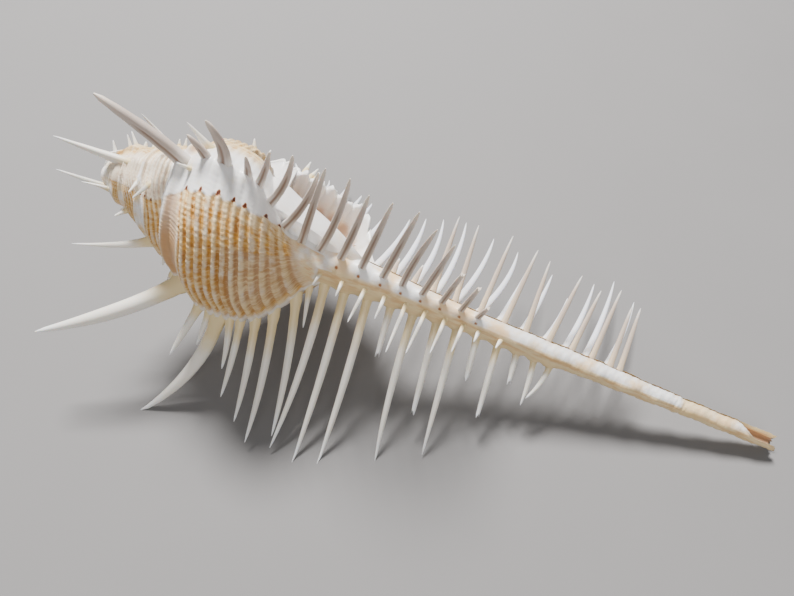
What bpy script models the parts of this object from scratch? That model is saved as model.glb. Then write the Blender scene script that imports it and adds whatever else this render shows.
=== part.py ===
"""Venus comb murex shell, lying on its front and back rows of spines.

The shell grew as one piece, so it is one solid. It is described about its own
axis: a place is the distance from the apex along the axis, a radius is the
distance out from the axis, and an angle is counted about the axis from the
upper side (0) by the front (90) and the underside (180) to the back (270),
which is also the way the whorls grow. Sizes are in millimetres and degrees.
"""
import math

import bmesh
import bpy
from mathutils import Euler, Matrix, Vector

MM = 0.001

# Driving dimensions
LENGTH = 130.0           # apex to the open end of the canal
PITCH = 14.0             # the canal end lies lower than the apex
END_HEIGHT = 2.3         # height of the axis at the open end of the canal
WHORL_GROWTH = 1.58      # size of a whorl against the one before it
APEX_SETBACK = 1.5       # the point that the whorls grow from, before the apex
BODY_RADIUS = 14.4       # body whorl at the front varix
CORD_PITCH = 1.43        # spiral cords of the body whorl
FIRST_CORD = 23.7        # the shoulder's cord, counted behind the growing point
CORDS = 12
CORD_HEIGHT = 0.34
VARIX_HEIGHT = 1.3
SLIT_WIDTH = 0.9

# The three rows of spines: their angles on the body whorl and on the canal
TOP, FRONT, BACK = 0.0, 129.0, 235.0
# Each row turns a little between two places: to which angle, from where, to where
TWISTS = {TOP: (9.0, 27.0, 35.0), FRONT: (129.0, 27.0, 35.0), BACK: (258.0, 32.0, 50.0)}
LIP = 274.0              # the free edge of the last whorl
BLADE = -30.0            # the raised edge of the inner lip
SLIT = -40.0             # the open slit of the canal

# Shape of a whorl at the front varix: place behind the growing point, and radius
WHORL = ((17.0, 6.0), (17.6, 9.2), (20.0, 10.9), (21.4, 12.1), (22.6, 13.4), (24.2, 14.2), (28.4, 14.4),
         (31.5, 14.0), (33.8, 13.1), (36.4, 11.0), (38.7, 8.1), (40.3, 5.6), (42.5, 3.6), (47.0, 1.6))
CANAL = ((38.0, 3.4), (44.0, 3.3), (50.0, 2.8), (58.0, 2.3), (68.0, 1.9), (90.0, 1.9), (100.0, 1.7),
         (109.0, 1.55), (110.0, 1.35), (124.0, 1.3), (LENGTH, 1.2))
# The spire and the body swell to one side of the canal's line: by how much at each place, and to which angle
SWELL = ((-0.3, 0.4), (3.0, 2.2), (8.0, 2.2), (14.0, 1.6), (27.0, 1.7), (32.0, 0.0))
SWELL_ANGLE = -50.0
INNER_LIP = ((27.5, 11.0), (30.5, 10.6), (33.0, 9.5), (36.0, 8.6), (39.0, 7.4), (43.0, 5.4), (46.5, 3.4))
COLUMELLA = 4.2          # the pillar inside the aperture
LIP_FLARE = 2.6          # how far the outer lip spreads at its lower end
LIP_FLARE_PLACE = 45.0

# A spine: place of its root, radius and lean of its tip, width at the root, and how far it bows
TOP_SPINES = ((16.0, 18.5, -14.0, 3.2, 1.6), (19.5, 18.0, -3.5, 1.6, 0.5), (21.5, 22.5, -2.5, 2.0, 1.2),
              (25.5, 18.5, -0.5, 1.2, 0.2), (27.0, 21.5, 1.5, 1.3, 0.3), (29.2, 24.0, 3.0, 1.4, 0.8),
              (32.0, 24.5, 4.5, 1.4, 0.8), (35.5, 28.5, 2.2, 1.4, 0.0), (38.6, 28.5, 2.5, 1.4, 0.6),
              (42.6, 26.5, 1.5, 1.4, 0.2), (46.6, 27.0, 0.8, 1.4, 0.0), (50.6, 27.5, 0.5, 1.4, 0.0),
              (54.4, 25.0, 0.0, 1.3, -0.4), (58.1, 23.0, -0.4, 1.3, 0.0), (61.8, 15.5, -0.4, 1.2, 0.0),
              (65.5, 13.2, -0.5, 1.1, 0.0), (68.7, 7.5, 0.0, 1.1, 0.0))
TOP_BROKEN = (61.8, 65.5, 68.7)
FRONT_SPINES = ((19.5, 31.0, -22.0, 3.6, 1.8), (16.8, 14.8, -0.8, 1.0, 0.0), (23.0, 26.0, -2.2, 1.7, 0.0),
                (24.6, 22.5, 0.0, 1.2, 0.0), (26.3, 41.5, -8.6, 3.0, 2.6), (28.0, 25.0, 2.2, 1.4, 0.3),
                (30.0, 30.0, 1.8, 1.5, 0.3), (32.4, 33.5, 3.2, 1.6, 0.4), (35.0, 36.5, 3.8, 1.7, 0.6),
                (37.6, 33.5, 5.3, 1.7, 0.6), (39.2, 12.5, 1.8, 1.0, 0.0), (41.5, 35.8, 1.9, 1.7, 0.9),
                (45.2, 37.0, 3.1, 1.7, 0.4), (49.4, 35.6, 3.3, 1.7, 0.4), (53.8, 12.0, 1.3, 1.5, 0.0),
                (58.1, 31.0, 4.2, 1.6, -0.5), (62.4, 19.5, 2.8, 1.5, 0.0), (66.3, 26.5, 3.6, 1.5, 0.0),
                (70.2, 10.0, 1.5, 1.4, 0.0), (74.3, 15.6, 2.1, 1.4, 0.0), (78.0, 7.8, 1.2, 1.3, 0.0),
                (81.3, 11.0, 1.6, 1.2, 0.3), (84.6, 9.5, -1.4, 1.2, 0.8))
FRONT_BROKEN = (53.8, 62.4, 70.2, 74.3, 78.0)
FRONT_WORN = (26.3, 45.2, 49.4, 58.1)
LONG_FRONT = 26.3        # the front spine that swings down to the ground
LONG_FRONT_ANGLE = 138.0
BACK_SPINES = ((23.5, 34.0, -17.0, 3.6, 1.6), (26.5, 52.0, -5.5, 2.4, 2.0), (31.0, 48.5, 0.0, 2.0, 1.0),
               (34.5, 44.0, 1.5, 1.8, 0.8), (38.0, 33.0, 2.5, 1.6, 0.6), (41.0, 27.0, 2.5, 1.5, 0.5),
               (44.5, 24.0, 3.0, 1.5, 0.5), (48.0, 21.0, 4.0, 1.5, 0.8), (52.0, 22.0, 3.0, 1.5, 0.9),
               (56.0, 24.0, 2.5, 1.5, 1.2), (60.3, 26.0, 3.0, 1.5, 1.0), (64.0, 24.5, 5.8, 1.5, 1.0),
               (68.4, 23.5, 7.0, 1.5, 1.4), (73.0, 25.5, 6.5, 1.5, 0.4), (77.5, 21.0, 5.9, 1.4, 0.4),
               (81.8, 16.0, 5.2, 1.3, 0.6), (86.0, 23.5, 7.0, 1.4, 0.6), (90.2, 27.0, 7.6, 1.4, 0.6),
               (94.5, 23.0, 7.8, 1.3, 0.6))
BACK_WORN = (26.5, 31.0)
SLIT_SPINES = ((52.0, 5.5, 0.3), (56.0, 6.0, 0.6), (60.0, 16.5, -0.6), (64.4, 16.4, -1.2), (69.2, 17.0, 0.5),
               (73.9, 16.4, 1.0), (78.3, 15.4, -0.6), (82.7, 15.2, 1.5), (87.3, 14.0, 1.2), (91.4, 15.5, 0.6),
               (95.2, 13.5, -0.2), (97.2, 13.8, -0.6))
SLIT_SPINE_ANGLE = 300.0
SIDE_SPINES = ((40.8, 6.0, -0.7), (44.6, 6.4, -0.2), (48.8, 10.5, -0.9), (52.4, 7.8, -0.5), (56.3, 13.3, -0.9),
               (60.1, 12.0, -1.5), (63.8, 10.2, -1.3), (67.2, 8.3, -1.2), (70.2, 4.4, -0.7), (74.6, 3.8, -1.0))
SIDE_SPINE_ANGLE = 80.0
# Spines of the spire: angle, root place and radius, tip place and radius, width, bow
SPIRE_SPINES = ((0.0, 9.6, 5.6, -7.7, 4.4, 2.4, 0.6), (100.0, 4.6, 2.2, -6.8, 2.8, 1.3, 0.0),
                (75.0, 5.0, 2.6, -1.3, 4.2, 0.8, 0.0), (129.0, 12.6, 7.0, -1.3, 13.7, 1.9, 1.6),
                (129.0, 7.0, 3.4, 4.6, 5.0, 1.0, 0.0), (240.0, 13.0, 7.6, 4.0, 15.0, 2.0, 1.2),
                (-12.0, 14.0, 8.6, 6.9, 14.9, 1.5, 0.4), (-14.0, 19.4, 11.6, 13.9, 16.3, 1.8, 0.4))

# Width of a spine's end against its root: a sharp tip, one worn flat on the ground, a broken one
POINTED, WORN, BROKEN = 0.06, 0.32, 0.65
SIDES = 5
COLUMN = 10.0            # degrees between the columns of the body's surface
SHELL_COLOUR = (0.86, 0.78, 0.66, 1.0)


def clear_scene():
    for obj in list(bpy.data.objects):
        bpy.data.objects.remove(obj, do_unlink=True)


def between(value, points):
    """A size read from a short list of (place, size) pairs."""
    if value <= points[0][0]:
        return points[0][1]
    for (x0, y0), (x1, y1) in zip(points, points[1:]):
        if value <= x1:
            return y0 + (y1 - y0) * (value - x0) / (x1 - x0)
    return points[-1][1]


def at(place, radius, angle):
    """A point of the shell, with its apex at the origin and its axis along X."""
    turn = math.radians(angle)
    return Vector((place, -radius * math.sin(turn), radius * math.cos(turn)))


def turns_grown(angle):
    """Turns of growth since the front varix, for an angle from just past the lip round to the lip."""
    return (angle - FRONT) / 360.0


def row_angle(row, place):
    """The angle of a row of spines, which twists a little from the body to the canal."""
    canal, start, end = TWISTS[row]
    return row + (canal - row) * min(max((place - start) / (end - start), 0.0), 1.0)


def whorl_radius(place, angle):
    """Outer radius where each whorl overlaps the one before it."""
    best = 0.0
    for older in range(5):
        size = WHORL_GROWTH ** (turns_grown(angle) - older)
        behind = (place + APEX_SETBACK) / size
        if WHORL[0][0] <= behind:
            radius = size * between(behind, WHORL)
            if older == 0:
                radius *= 1.0 - 0.03 * max(turns_grown(angle), 0.0) / turns_grown(LIP)
            best = max(best, radius)
    return best


def cord_wave(behind):
    """One on the crest of each cord, minus one in the grooves, nothing outside them."""
    turns = (behind - FIRST_CORD) / CORD_PITCH
    return math.cos(2.0 * math.pi * turns) if -0.5 <= turns <= CORDS - 1 else 0.0


def varix_wave(place, angle):
    """One at the crest of each of the three varices, nothing between them."""
    wave = 0.0
    for row in (TOP, FRONT, BACK):
        away = (angle - row_angle(row, place) + 180.0) % 360.0 - 180.0
        width = 9.0 if away > 0.0 else 13.0
        wave = max(wave, math.exp(-(away / width) ** 2))
    return wave


def body_radius(place, angle):
    radius = whorl_radius(place, angle)
    behind = (place + APEX_SETBACK) / WHORL_GROWTH ** turns_grown(angle)
    if angle > BLADE + 20.0:
        radius += CORD_HEIGHT * cord_wave(behind)
    radius += VARIX_HEIGHT * varix_wave(place, angle) * min(radius / BODY_RADIUS, 1.0)
    radius += between(place, SWELL) * (0.5 + 0.5 * math.cos(math.radians(angle - SWELL_ANGLE)))
    spread = max(1.0 - abs(place - LIP_FLARE_PLACE) / 4.5, 0.0) * max((angle - BACK) / (LIP - BACK), 0.0)
    radius += LIP_FLARE * spread
    inner = between(place, INNER_LIP) if INNER_LIP[0][0] - 2.0 < place < INNER_LIP[-1][0] else 0.0
    if BLADE - 1.0 <= angle <= TOP:
        radius = max(radius, inner * (1.0 - 0.12 * (angle - BLADE) / (TOP - BLADE)))
    return max(radius, min(COLUMELLA, 0.75 * (place + APEX_SETBACK)) if place < 40.0 else 1.0)


def mesh_object(name, bm, hidden=False):
    bmesh.ops.recalc_face_normals(bm, faces=bm.faces)
    mesh = bpy.data.meshes.new(name)
    bm.to_mesh(mesh)
    bm.free()
    obj = bpy.data.objects.new(name, mesh)
    bpy.context.collection.objects.link(obj)
    if hidden:
        obj.hide_render = True
        obj.display_type = "WIRE"
    return obj


def loft(bm, rings, first_point=None, last_point=None):
    """Faces between closed rings of points, with a face or a point at each end."""
    loops = [[bm.verts.new(point) for point in ring] for ring in rings]
    count = len(loops[0])
    for low, high in zip(loops, loops[1:]):
        for i in range(count):
            j = (i + 1) % count
            bm.faces.new((low[i], low[j], high[j], high[i]))
    for loop, point in ((loops[0], first_point), (loops[-1], last_point)):
        if point is None:
            bm.faces.new(loop)
            continue
        tip = bm.verts.new(point)
        for i in range(count):
            bm.faces.new((loop[i], loop[(i + 1) % count], tip))


def body_rows():
    """Rows along the shell, counted behind the growing point at the front varix."""
    rows = [1.8, 2.4, 3.1, 3.9, 4.5, 5.3, 6.1, 7.0, 7.6, 8.5, 9.4, 10.2, 11.1, 12.0, 12.9, 13.8, 14.8, 16.0,
            17.0, 17.6, 18.8, 20.0, 21.4]
    rows += [FIRST_CORD + 0.5 * CORD_PITCH * i for i in range(-1, 2 * CORDS - 1)]
    return rows + [40.4, 42.5, 45.0]


def body():
    """Spire and body whorl, as one closed surface down to a point inside the canal."""
    first = LIP - 360.0
    angles = [first + COLUMN * i for i in range(int(360.0 / COLUMN))] + [LIP - 1.5]
    rings = []
    for row in body_rows():
        ring = []
        for angle in angles:
            grown = turns_grown(angle)
            if angle < TOP:
                share = (TOP - angle) / (TOP - first)
                grown = turns_grown(TOP) + share * (turns_grown(LIP) - turns_grown(TOP))
            place = row * WHORL_GROWTH ** grown - APEX_SETBACK
            ring.append(at(place, body_radius(place, angle), angle))
        rings.append(ring)
    bm = bmesh.new()
    loft(bm, rings, at(-0.3, 0.0, 0.0), at(52.0, 0.0, 0.0))
    return mesh_object("shell", bm)


def canal_ring(place):
    """A section of the canal: a round wall, open along its slit."""
    radius = between(place, CANAL)
    half = math.degrees(0.5 * SLIT_WIDTH / radius)
    opened = max((place - 122.0) / (LENGTH - 122.0), 0.0)
    half += 62.0 * opened
    outer = [SLIT + half + (360.0 - 2.0 * half) * i / 11.0 for i in range(12)]
    ring = [at(place, radius, angle) for angle in outer]
    wall = 0.42 * radius
    inner = ((SLIT - half, radius - wall), (SLIT - half - 45.0, 0.5 * radius), (SLIT + 180.0, 0.25 * radius),
             (SLIT + half + 45.0, 0.5 * radius), (SLIT + half, radius - wall))
    return ring + [at(place, reach, angle) for angle, reach in inner]


def canal():
    places = [38.0, 42.0, 46.0, 50.0, 55.0, 60.0, 66.0, 73.0, 80.0, 88.0, 95.0, 102.0, 108.8, 110.0, 116.0,
              122.0, 125.0, 127.5, LENGTH]
    bm = bmesh.new()
    loft(bm, [canal_ring(place) for place in places])
    return mesh_object("canal", bm, hidden=True)


def mouth():
    """The hollow of the aperture, which follows the whorl in behind the outer lip."""
    sections = ((288.0, 36.8, 9.9, 7.6, 5.0), (270.0, 36.8, 9.9, 7.6, 5.0), (252.0, 35.6, 9.6, 6.8, 4.6),
                (232.0, 33.8, 9.2, 5.8, 4.0), (212.0, 32.0, 8.8, 4.6, 3.2), (196.0, 30.6, 8.6, 2.6, 1.8))
    points = 12
    rings = []
    for angle, place, radius, half_length, half_height in sections:
        turns = [2.0 * math.pi * i / points for i in range(points)]
        rings.append([at(place + half_length * math.cos(t), radius + half_height * math.sin(t), angle)
                      for t in turns])
    bm = bmesh.new()
    loft(bm, rings)
    return mesh_object("mouth", bm, hidden=True)


def spine(root, tip, width, bow, end=POINTED):
    """A tapering spine from inside the wall to its tip, bowed along the axis."""
    steps = (0.0, 0.3, 0.62, 1.0) if end > POINTED else (0.0, 0.28, 0.58, 0.84, 1.0)
    along = tip - root
    centres = [root + along * t + Vector((4.0 * bow * t * (1.0 - t), 0.0, 0.0)) for t in steps]
    rings = []
    for i, centre in enumerate(centres if end > POINTED else centres[:-1]):
        before, after = centres[max(i - 1, 0)], centres[min(i + 1, len(centres) - 1)]
        ahead = (after - before).normalized()
        across = ahead.cross(Vector((1.0, 0.0, 0.0)).cross(root)).normalized()
        aside = ahead.cross(across)
        half = 0.5 * width * (1.0 - (1.0 - end) * steps[i] ** 1.3)
        turns = [2.0 * math.pi * (k + 0.37 * root.x) / SIDES for k in range(SIDES)]
        rings.append([centre + half * (math.cos(t) * across + math.sin(t) * aside) for t in turns])
    bm = bmesh.new()
    loft(bm, rings, last_point=None if end > POINTED else centres[-1])
    return mesh_object("spine", bm, hidden=True)


def root_radius(place, angle):
    """Where a spine starts, a little under the surface."""
    turned = (angle - LIP) % 360.0 + LIP - 360.0
    surface = body_radius(place, turned) if place < 44.0 else 0.0
    return max(surface - 1.6, 0.55 * between(place, CANAL))


def row_of_spines(row, sizes, broken=(), worn=()):
    spines = []
    for place, reach, lean, width, bow in sizes:
        angle = row_angle(row, place)
        tip_angle = LONG_FRONT_ANGLE if (row, place) == (FRONT, LONG_FRONT) else angle
        root = at(place, root_radius(place, angle), angle)
        end = BROKEN if place in broken else WORN if place in worn else POINTED
        spines.append(spine(root, at(place + lean, reach, tip_angle), width, bow, end))
    return spines


def canal_side_spines(sizes, angle, width):
    """The short spines that stand between the main ones, on the canal."""
    spines = []
    for place, reach, lean in sizes:
        root = at(place, 0.5 * between(place, CANAL), angle)
        spines.append(spine(root, at(place + lean, reach, angle), width, 0.0))
    return spines


def spire_spines():
    spines = []
    for angle, place, radius, tip_place, tip_radius, width, bow in SPIRE_SPINES:
        spines.append(spine(at(place, radius, angle), at(tip_place, tip_radius, angle), width, bow))
    return spines


def apply_boolean(obj, tool, operation):
    """Joins or cuts with one object, or with each object of a collection."""
    modifier = obj.modifiers.new("boolean", "BOOLEAN")
    modifier.operation = operation
    modifier.solver = "EXACT"
    if isinstance(tool, bpy.types.Collection):
        modifier.operand_type = "COLLECTION"
        modifier.collection = tool
    else:
        modifier.object = tool
    depsgraph = bpy.context.evaluated_depsgraph_get()
    mesh = bpy.data.meshes.new_from_object(obj.evaluated_get(depsgraph))
    obj.modifiers.clear()
    obj.data = mesh


def ground_box():
    """All that lies under the ground, which leaves the resting tips worn flat."""
    bm = bmesh.new()
    bmesh.ops.create_cube(bm, size=1.0)
    bmesh.ops.scale(bm, vec=(300.0, 200.0, 40.0), verts=bm.verts)
    bmesh.ops.translate(bm, vec=(60.0, 0.0, -20.0), verts=bm.verts)
    return mesh_object("ground", bm, hidden=True)


def rest_on_ground(obj):
    """Tips the shell into the way it lies, in its own millimetres."""
    lift = END_HEIGHT + LENGTH * math.sin(math.radians(PITCH))
    place = Matrix.Translation((0.0, 0.0, lift)) @ Euler((0.0, math.radians(PITCH), 0.0)).to_matrix().to_4x4()
    obj.data.transform(place)


def centre_and_scale(obj):
    """Puts the middle of the base at the origin, in metres."""
    xs = [v.co.x for v in obj.data.vertices]
    ys = [v.co.y for v in obj.data.vertices]
    middle = Vector((0.5 * (min(xs) + max(xs)), 0.5 * (min(ys) + max(ys)), 0.0))
    obj.data.transform(Matrix.Scale(MM, 4) @ Matrix.Translation(-middle))


def shell_material():
    material = bpy.data.materials.new("shell")
    material.use_nodes = True
    shader = material.node_tree.nodes["Principled BSDF"]
    shader.inputs["Base Color"].default_value = SHELL_COLOUR
    shader.inputs["Roughness"].default_value = 0.45
    shader.inputs["Metallic"].default_value = 0.0
    return material


def build():
    clear_scene()
    shell = body()
    tube = canal()
    hollow = mouth()
    apply_boolean(shell, tube, "UNION")
    apply_boolean(shell, hollow, "DIFFERENCE")
    spines = row_of_spines(TOP, TOP_SPINES, TOP_BROKEN)
    spines += row_of_spines(FRONT, FRONT_SPINES, FRONT_BROKEN, FRONT_WORN)
    spines += row_of_spines(BACK, BACK_SPINES, worn=BACK_WORN)
    spines += canal_side_spines(SLIT_SPINES, SLIT_SPINE_ANGLE, 1.5)
    spines += canal_side_spines(SIDE_SPINES, SIDE_SPINE_ANGLE, 1.1)
    spines += spire_spines()
    group = bpy.data.collections.new("spines")
    for obj in spines:
        group.objects.link(obj)
    apply_boolean(shell, group, "UNION")
    rest_on_ground(shell)
    ground = ground_box()
    apply_boolean(shell, ground, "DIFFERENCE")
    centre_and_scale(shell)
    shell.data.materials.clear()
    shell.data.materials.append(shell_material())
    for obj in [tube, hollow, ground] + spines:
        bpy.data.objects.remove(obj, do_unlink=True)
    bpy.data.collections.remove(group)
    shell.data.shade_smooth()
    shell.data.set_sharp_from_angle(angle=math.radians(40.0))


build()
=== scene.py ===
"""Looks of a venus comb murex shell: ribbed whorls, glazed varices, lip, canal and combs of spines.

A point of the shell is given about its own axis: a place is the distance from the
apex, a radius is the distance out from the axis, and an angle runs from the upper
side (0) by the front (90) and the underside (180) to the back (270), as the whorls
grow. Sizes are in millimetres and degrees.
"""
import math

import bpy
import numpy as np
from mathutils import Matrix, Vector


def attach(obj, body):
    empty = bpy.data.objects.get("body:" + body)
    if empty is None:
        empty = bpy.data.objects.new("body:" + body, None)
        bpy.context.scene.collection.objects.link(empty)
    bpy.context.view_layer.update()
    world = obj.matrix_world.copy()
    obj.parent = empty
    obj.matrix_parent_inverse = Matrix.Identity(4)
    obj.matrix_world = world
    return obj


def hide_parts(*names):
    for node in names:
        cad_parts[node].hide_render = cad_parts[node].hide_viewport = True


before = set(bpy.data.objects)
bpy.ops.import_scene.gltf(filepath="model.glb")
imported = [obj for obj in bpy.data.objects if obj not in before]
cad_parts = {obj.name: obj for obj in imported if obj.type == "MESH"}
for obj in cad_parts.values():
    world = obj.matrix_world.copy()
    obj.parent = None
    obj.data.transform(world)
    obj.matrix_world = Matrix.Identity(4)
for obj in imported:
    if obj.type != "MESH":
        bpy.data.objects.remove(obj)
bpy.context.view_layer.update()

MM = 0.001
MERGE = 0.002 * MM

# How the shell lies
LENGTH = 130.0
PITCH = 14.0
END_HEIGHT = 2.3
MIDDLE = (59.602, 7.155)

# Growth
GROWTH = 1.58
SETBACK = 1.5
TOP, FRONT, BACK = 0.0, 129.0, 235.0
# Of each row, its angle on the canal, and the places where it starts and stops turning to it
TWISTS = {TOP: (9.0, 27.0, 35.0), FRONT: (129.0, 27.0, 35.0), BACK: (258.0, 32.0, 50.0)}
LIP = 274.0
INNER_EDGE = -30.0
SLIT = -40.0
# How far from the point that all whorls grow from a whorl leaves the one before, and its radius
# against that distance
SUTURE = 17.4
WHORL = ((17.0, 6.0), (17.6, 9.2), (20.0, 10.9), (21.4, 12.1), (22.6, 13.4), (24.2, 14.2), (28.4, 14.4),
         (31.5, 14.0), (33.8, 13.1), (36.4, 11.0), (38.7, 8.1), (40.3, 5.6), (42.5, 3.6), (47.0, 1.6))
CANAL = ((38.0, 3.4), (44.0, 3.3), (50.0, 2.8), (58.0, 2.3), (68.0, 1.9), (90.0, 1.9), (100.0, 1.7),
         (109.0, 1.55), (110.0, 1.35), (124.0, 1.3), (LENGTH, 1.2))
INNER_LIP = ((23.5, 6.0), (25.6, 9.6), (27.5, 11.0), (30.5, 10.6), (33.0, 9.5), (36.0, 8.6), (39.0, 7.4),
             (43.0, 5.4), (46.5, 3.4), (50.0, 1.5))
COLUMELLA = ((10.0, 3.0), (26.0, 5.6), (32.0, 5.0), (38.0, 4.2), (44.0, 3.2), (48.0, 2.2), (54.0, 0.3))
# The mouth: its middle along the lip, half its length, and the radius of its middle
MOUTH_PLACE, MOUTH_HALF = 37.6, 8.8
MOUTH_MIDDLE = ((28.0, 12.6), (33.0, 11.0), (37.5, 9.7), (42.0, 7.6), (47.0, 3.8))
# The spire is wider on its hidden side
SWELL = ((-0.3, 0.4), (3.0, 2.2), (8.0, 2.2), (14.0, 1.6), (27.0, 1.7), (32.0, 0.0))
SWELL_ANGLE = -50.0
CORD_PITCH = 1.43
FIRST_CORD = 23.7
RIBS_START = 22.3
# How strong each cord is, from the shoulder to the neck
CORDS = (1.0, 0.75, 0.8, 0.7, 1.05, 0.5, 1.05, 0.85, 0.5, 0.9, 0.5, 0.9)

# A spine: place of its root, radius and lean of its tip, width at the root, and how far it bows
TOP_SPINES = ((16.0, 18.5, -14.0, 3.2, 1.6), (19.5, 18.0, -3.5, 1.6, 0.5), (21.5, 22.5, -2.5, 2.0, 1.2),
              (25.5, 18.5, -0.5, 1.2, 0.2), (27.0, 21.5, 1.5, 1.3, 0.3), (29.2, 24.0, 3.0, 1.4, 0.8),
              (32.0, 24.5, 4.5, 1.4, 0.8), (35.5, 28.5, 2.2, 1.4, 0.0), (38.6, 28.5, 2.5, 1.4, 0.6),
              (42.6, 26.5, 1.5, 1.4, 0.2), (46.6, 27.0, 0.8, 1.4, 0.0), (50.6, 27.5, 0.5, 1.4, 0.0),
              (54.4, 25.0, 0.0, 1.3, -0.4), (58.1, 23.0, -0.4, 1.3, 0.0), (61.8, 15.5, -0.4, 1.2, 0.0),
              (65.5, 13.2, -0.5, 1.1, 0.0), (68.7, 7.5, 0.0, 1.1, 0.0))
TOP_BROKEN = (61.8, 65.5, 68.7)
FRONT_SPINES = ((19.5, 31.0, -22.0, 3.6, 1.8), (16.8, 14.8, -0.8, 1.0, 0.0), (23.0, 26.0, -2.2, 1.7, 0.0),
                (24.6, 22.5, 0.0, 1.2, 0.0), (26.3, 41.5, -8.6, 3.0, 2.6), (28.0, 25.0, 2.2, 1.4, 0.3),
                (30.0, 30.0, 1.8, 1.5, 0.3), (32.4, 33.5, 3.2, 1.6, 0.4), (35.0, 36.5, 3.8, 1.7, 0.6),
                (37.6, 33.5, 5.3, 1.7, 0.6), (39.2, 12.5, 1.8, 1.0, 0.0), (41.5, 35.8, 1.9, 1.7, 0.9),
                (45.2, 37.0, 3.1, 1.7, 0.4), (49.4, 35.6, 3.3, 1.7, 0.4), (53.8, 12.0, 1.3, 1.5, 0.0),
                (58.1, 31.0, 4.2, 1.6, -0.5), (62.4, 19.5, 2.8, 1.5, 0.0), (66.3, 26.5, 3.6, 1.5, 0.0),
                (70.2, 10.0, 1.5, 1.4, 0.0), (74.3, 15.6, 2.1, 1.4, 0.0), (78.0, 7.8, 1.2, 1.3, 0.0),
                (81.3, 11.0, 1.6, 1.2, 0.3), (84.6, 9.5, -1.4, 1.2, 0.8))
FRONT_BROKEN = (53.8, 62.4, 70.2, 74.3, 78.0)
LONG_FRONT, LONG_FRONT_ANGLE = 26.3, 138.0
BACK_SPINES = ((23.5, 34.0, -17.0, 3.6, 1.6), (26.5, 52.0, -5.5, 2.4, 2.0), (31.0, 48.5, 0.0, 2.0, 1.0),
               (34.5, 44.0, 1.5, 1.8, 0.8), (38.0, 33.0, 2.5, 1.6, 0.6), (41.0, 27.0, 2.5, 1.5, 0.5),
               (44.5, 24.0, 3.0, 1.5, 0.5), (48.0, 21.0, 4.0, 1.5, 0.8), (52.0, 22.0, 3.0, 1.5, 0.9),
               (56.0, 24.0, 2.5, 1.5, 1.2), (60.3, 26.0, 3.0, 1.5, 1.0), (64.0, 24.5, 5.8, 1.5, 1.0),
               (68.4, 23.5, 7.0, 1.5, 1.4), (73.0, 25.5, 6.5, 1.5, 0.4), (77.5, 21.0, 5.9, 1.4, 0.4),
               (81.8, 16.0, 5.2, 1.3, 0.6), (86.0, 23.5, 7.0, 1.4, 0.6), (90.2, 27.0, 7.6, 1.4, 0.6),
               (94.5, 23.0, 7.8, 1.3, 0.6))
SLIT_SPINES = ((52.0, 5.5, 0.3), (56.0, 6.0, 0.6), (60.0, 16.5, -0.6), (64.4, 16.4, -1.2),
               (69.2, 17.0, 0.5), (73.9, 16.4, 1.0), (78.3, 15.4, -0.6), (82.7, 15.2, 1.5),
               (87.3, 14.0, 1.2), (91.4, 15.5, 0.6), (95.2, 13.5, -0.2), (97.2, 13.8, -0.6))
SLIT_SPINE_ANGLE = 300.0
SIDE_SPINES = ((40.8, 6.0, -0.7), (44.6, 6.4, -0.2), (48.8, 10.5, -0.9), (52.4, 7.8, -0.5),
               (56.3, 13.3, -0.9), (60.1, 12.0, -1.5), (63.8, 10.2, -1.3), (67.2, 8.3, -1.2),
               (70.2, 4.4, -0.7), (74.6, 3.8, -1.0))
SIDE_SPINE_ANGLE = 80.0
# Spines of the spire: angle, root place and radius, tip place and radius, width, bow
SPIRE_SPINES = ((0.0, 9.6, 5.6, -7.7, 4.4, 2.4, 0.6), (100.0, 4.6, 2.2, -6.8, 2.8, 1.3, 0.0),
                (75.0, 5.0, 2.6, -1.3, 4.2, 0.8, 0.0), (129.0, 12.6, 7.0, -1.3, 13.7, 1.9, 1.6),
                (129.0, 7.0, 3.4, 4.6, 5.0, 1.0, 0.0), (240.0, 13.0, 7.6, 4.0, 15.0, 2.0, 1.2),
                (-12.0, 14.0, 8.6, 6.9, 14.9, 1.5, 0.4), (-14.0, 19.4, 11.6, 13.9, 16.3, 1.8, 0.4))
# Short points: angle and place of the root, angle and place of the tip, how far it stands out, width
LITTLE_POINTS = ((-50.0, 1.6, -50.0, -0.1, 2.2, 0.9), (-50.0, 3.8, -50.0, 1.8, 2.1, 0.8),
                 (-55.0, 4.5, -55.0, 2.0, 2.2, 0.9), (-50.0, 5.5, -50.0, 5.1, 1.0, 0.9),
                 (-50.0, 6.8, -50.0, 6.6, 1.0, 1.1), (-50.0, 11.6, -50.0, 11.2, 1.5, 0.7),
                 (-50.0, 10.6, -50.0, 10.2, 1.0, 0.6), (-50.0, 22.6, -50.0, 21.8, 1.5, 0.9),
                 (-50.0, 24.9, -50.0, 25.0, 1.5, 0.9), (18.0, 8.9, 42.0, 8.6, 0.9, 0.9),
                 (20.0, 11.4, 44.0, 10.0, 0.9, 1.0), (6.0, 17.4, 10.0, 15.4, 0.9, 1.0),
                 (100.0, 7.1, 100.0, 5.4, 1.4, 1.0), (129.0, 17.4, 129.0, 16.0, 2.4, 1.0),
                 (120.0, 14.6, 122.0, 14.8, 1.8, 1.0), (268.0, 29.8, 268.0, 29.9, 2.6, 1.0),
                 (268.0, 31.0, 268.0, 31.8, 2.6, 1.0), (268.0, 32.1, 268.0, 32.4, 1.8, 0.9))


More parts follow.
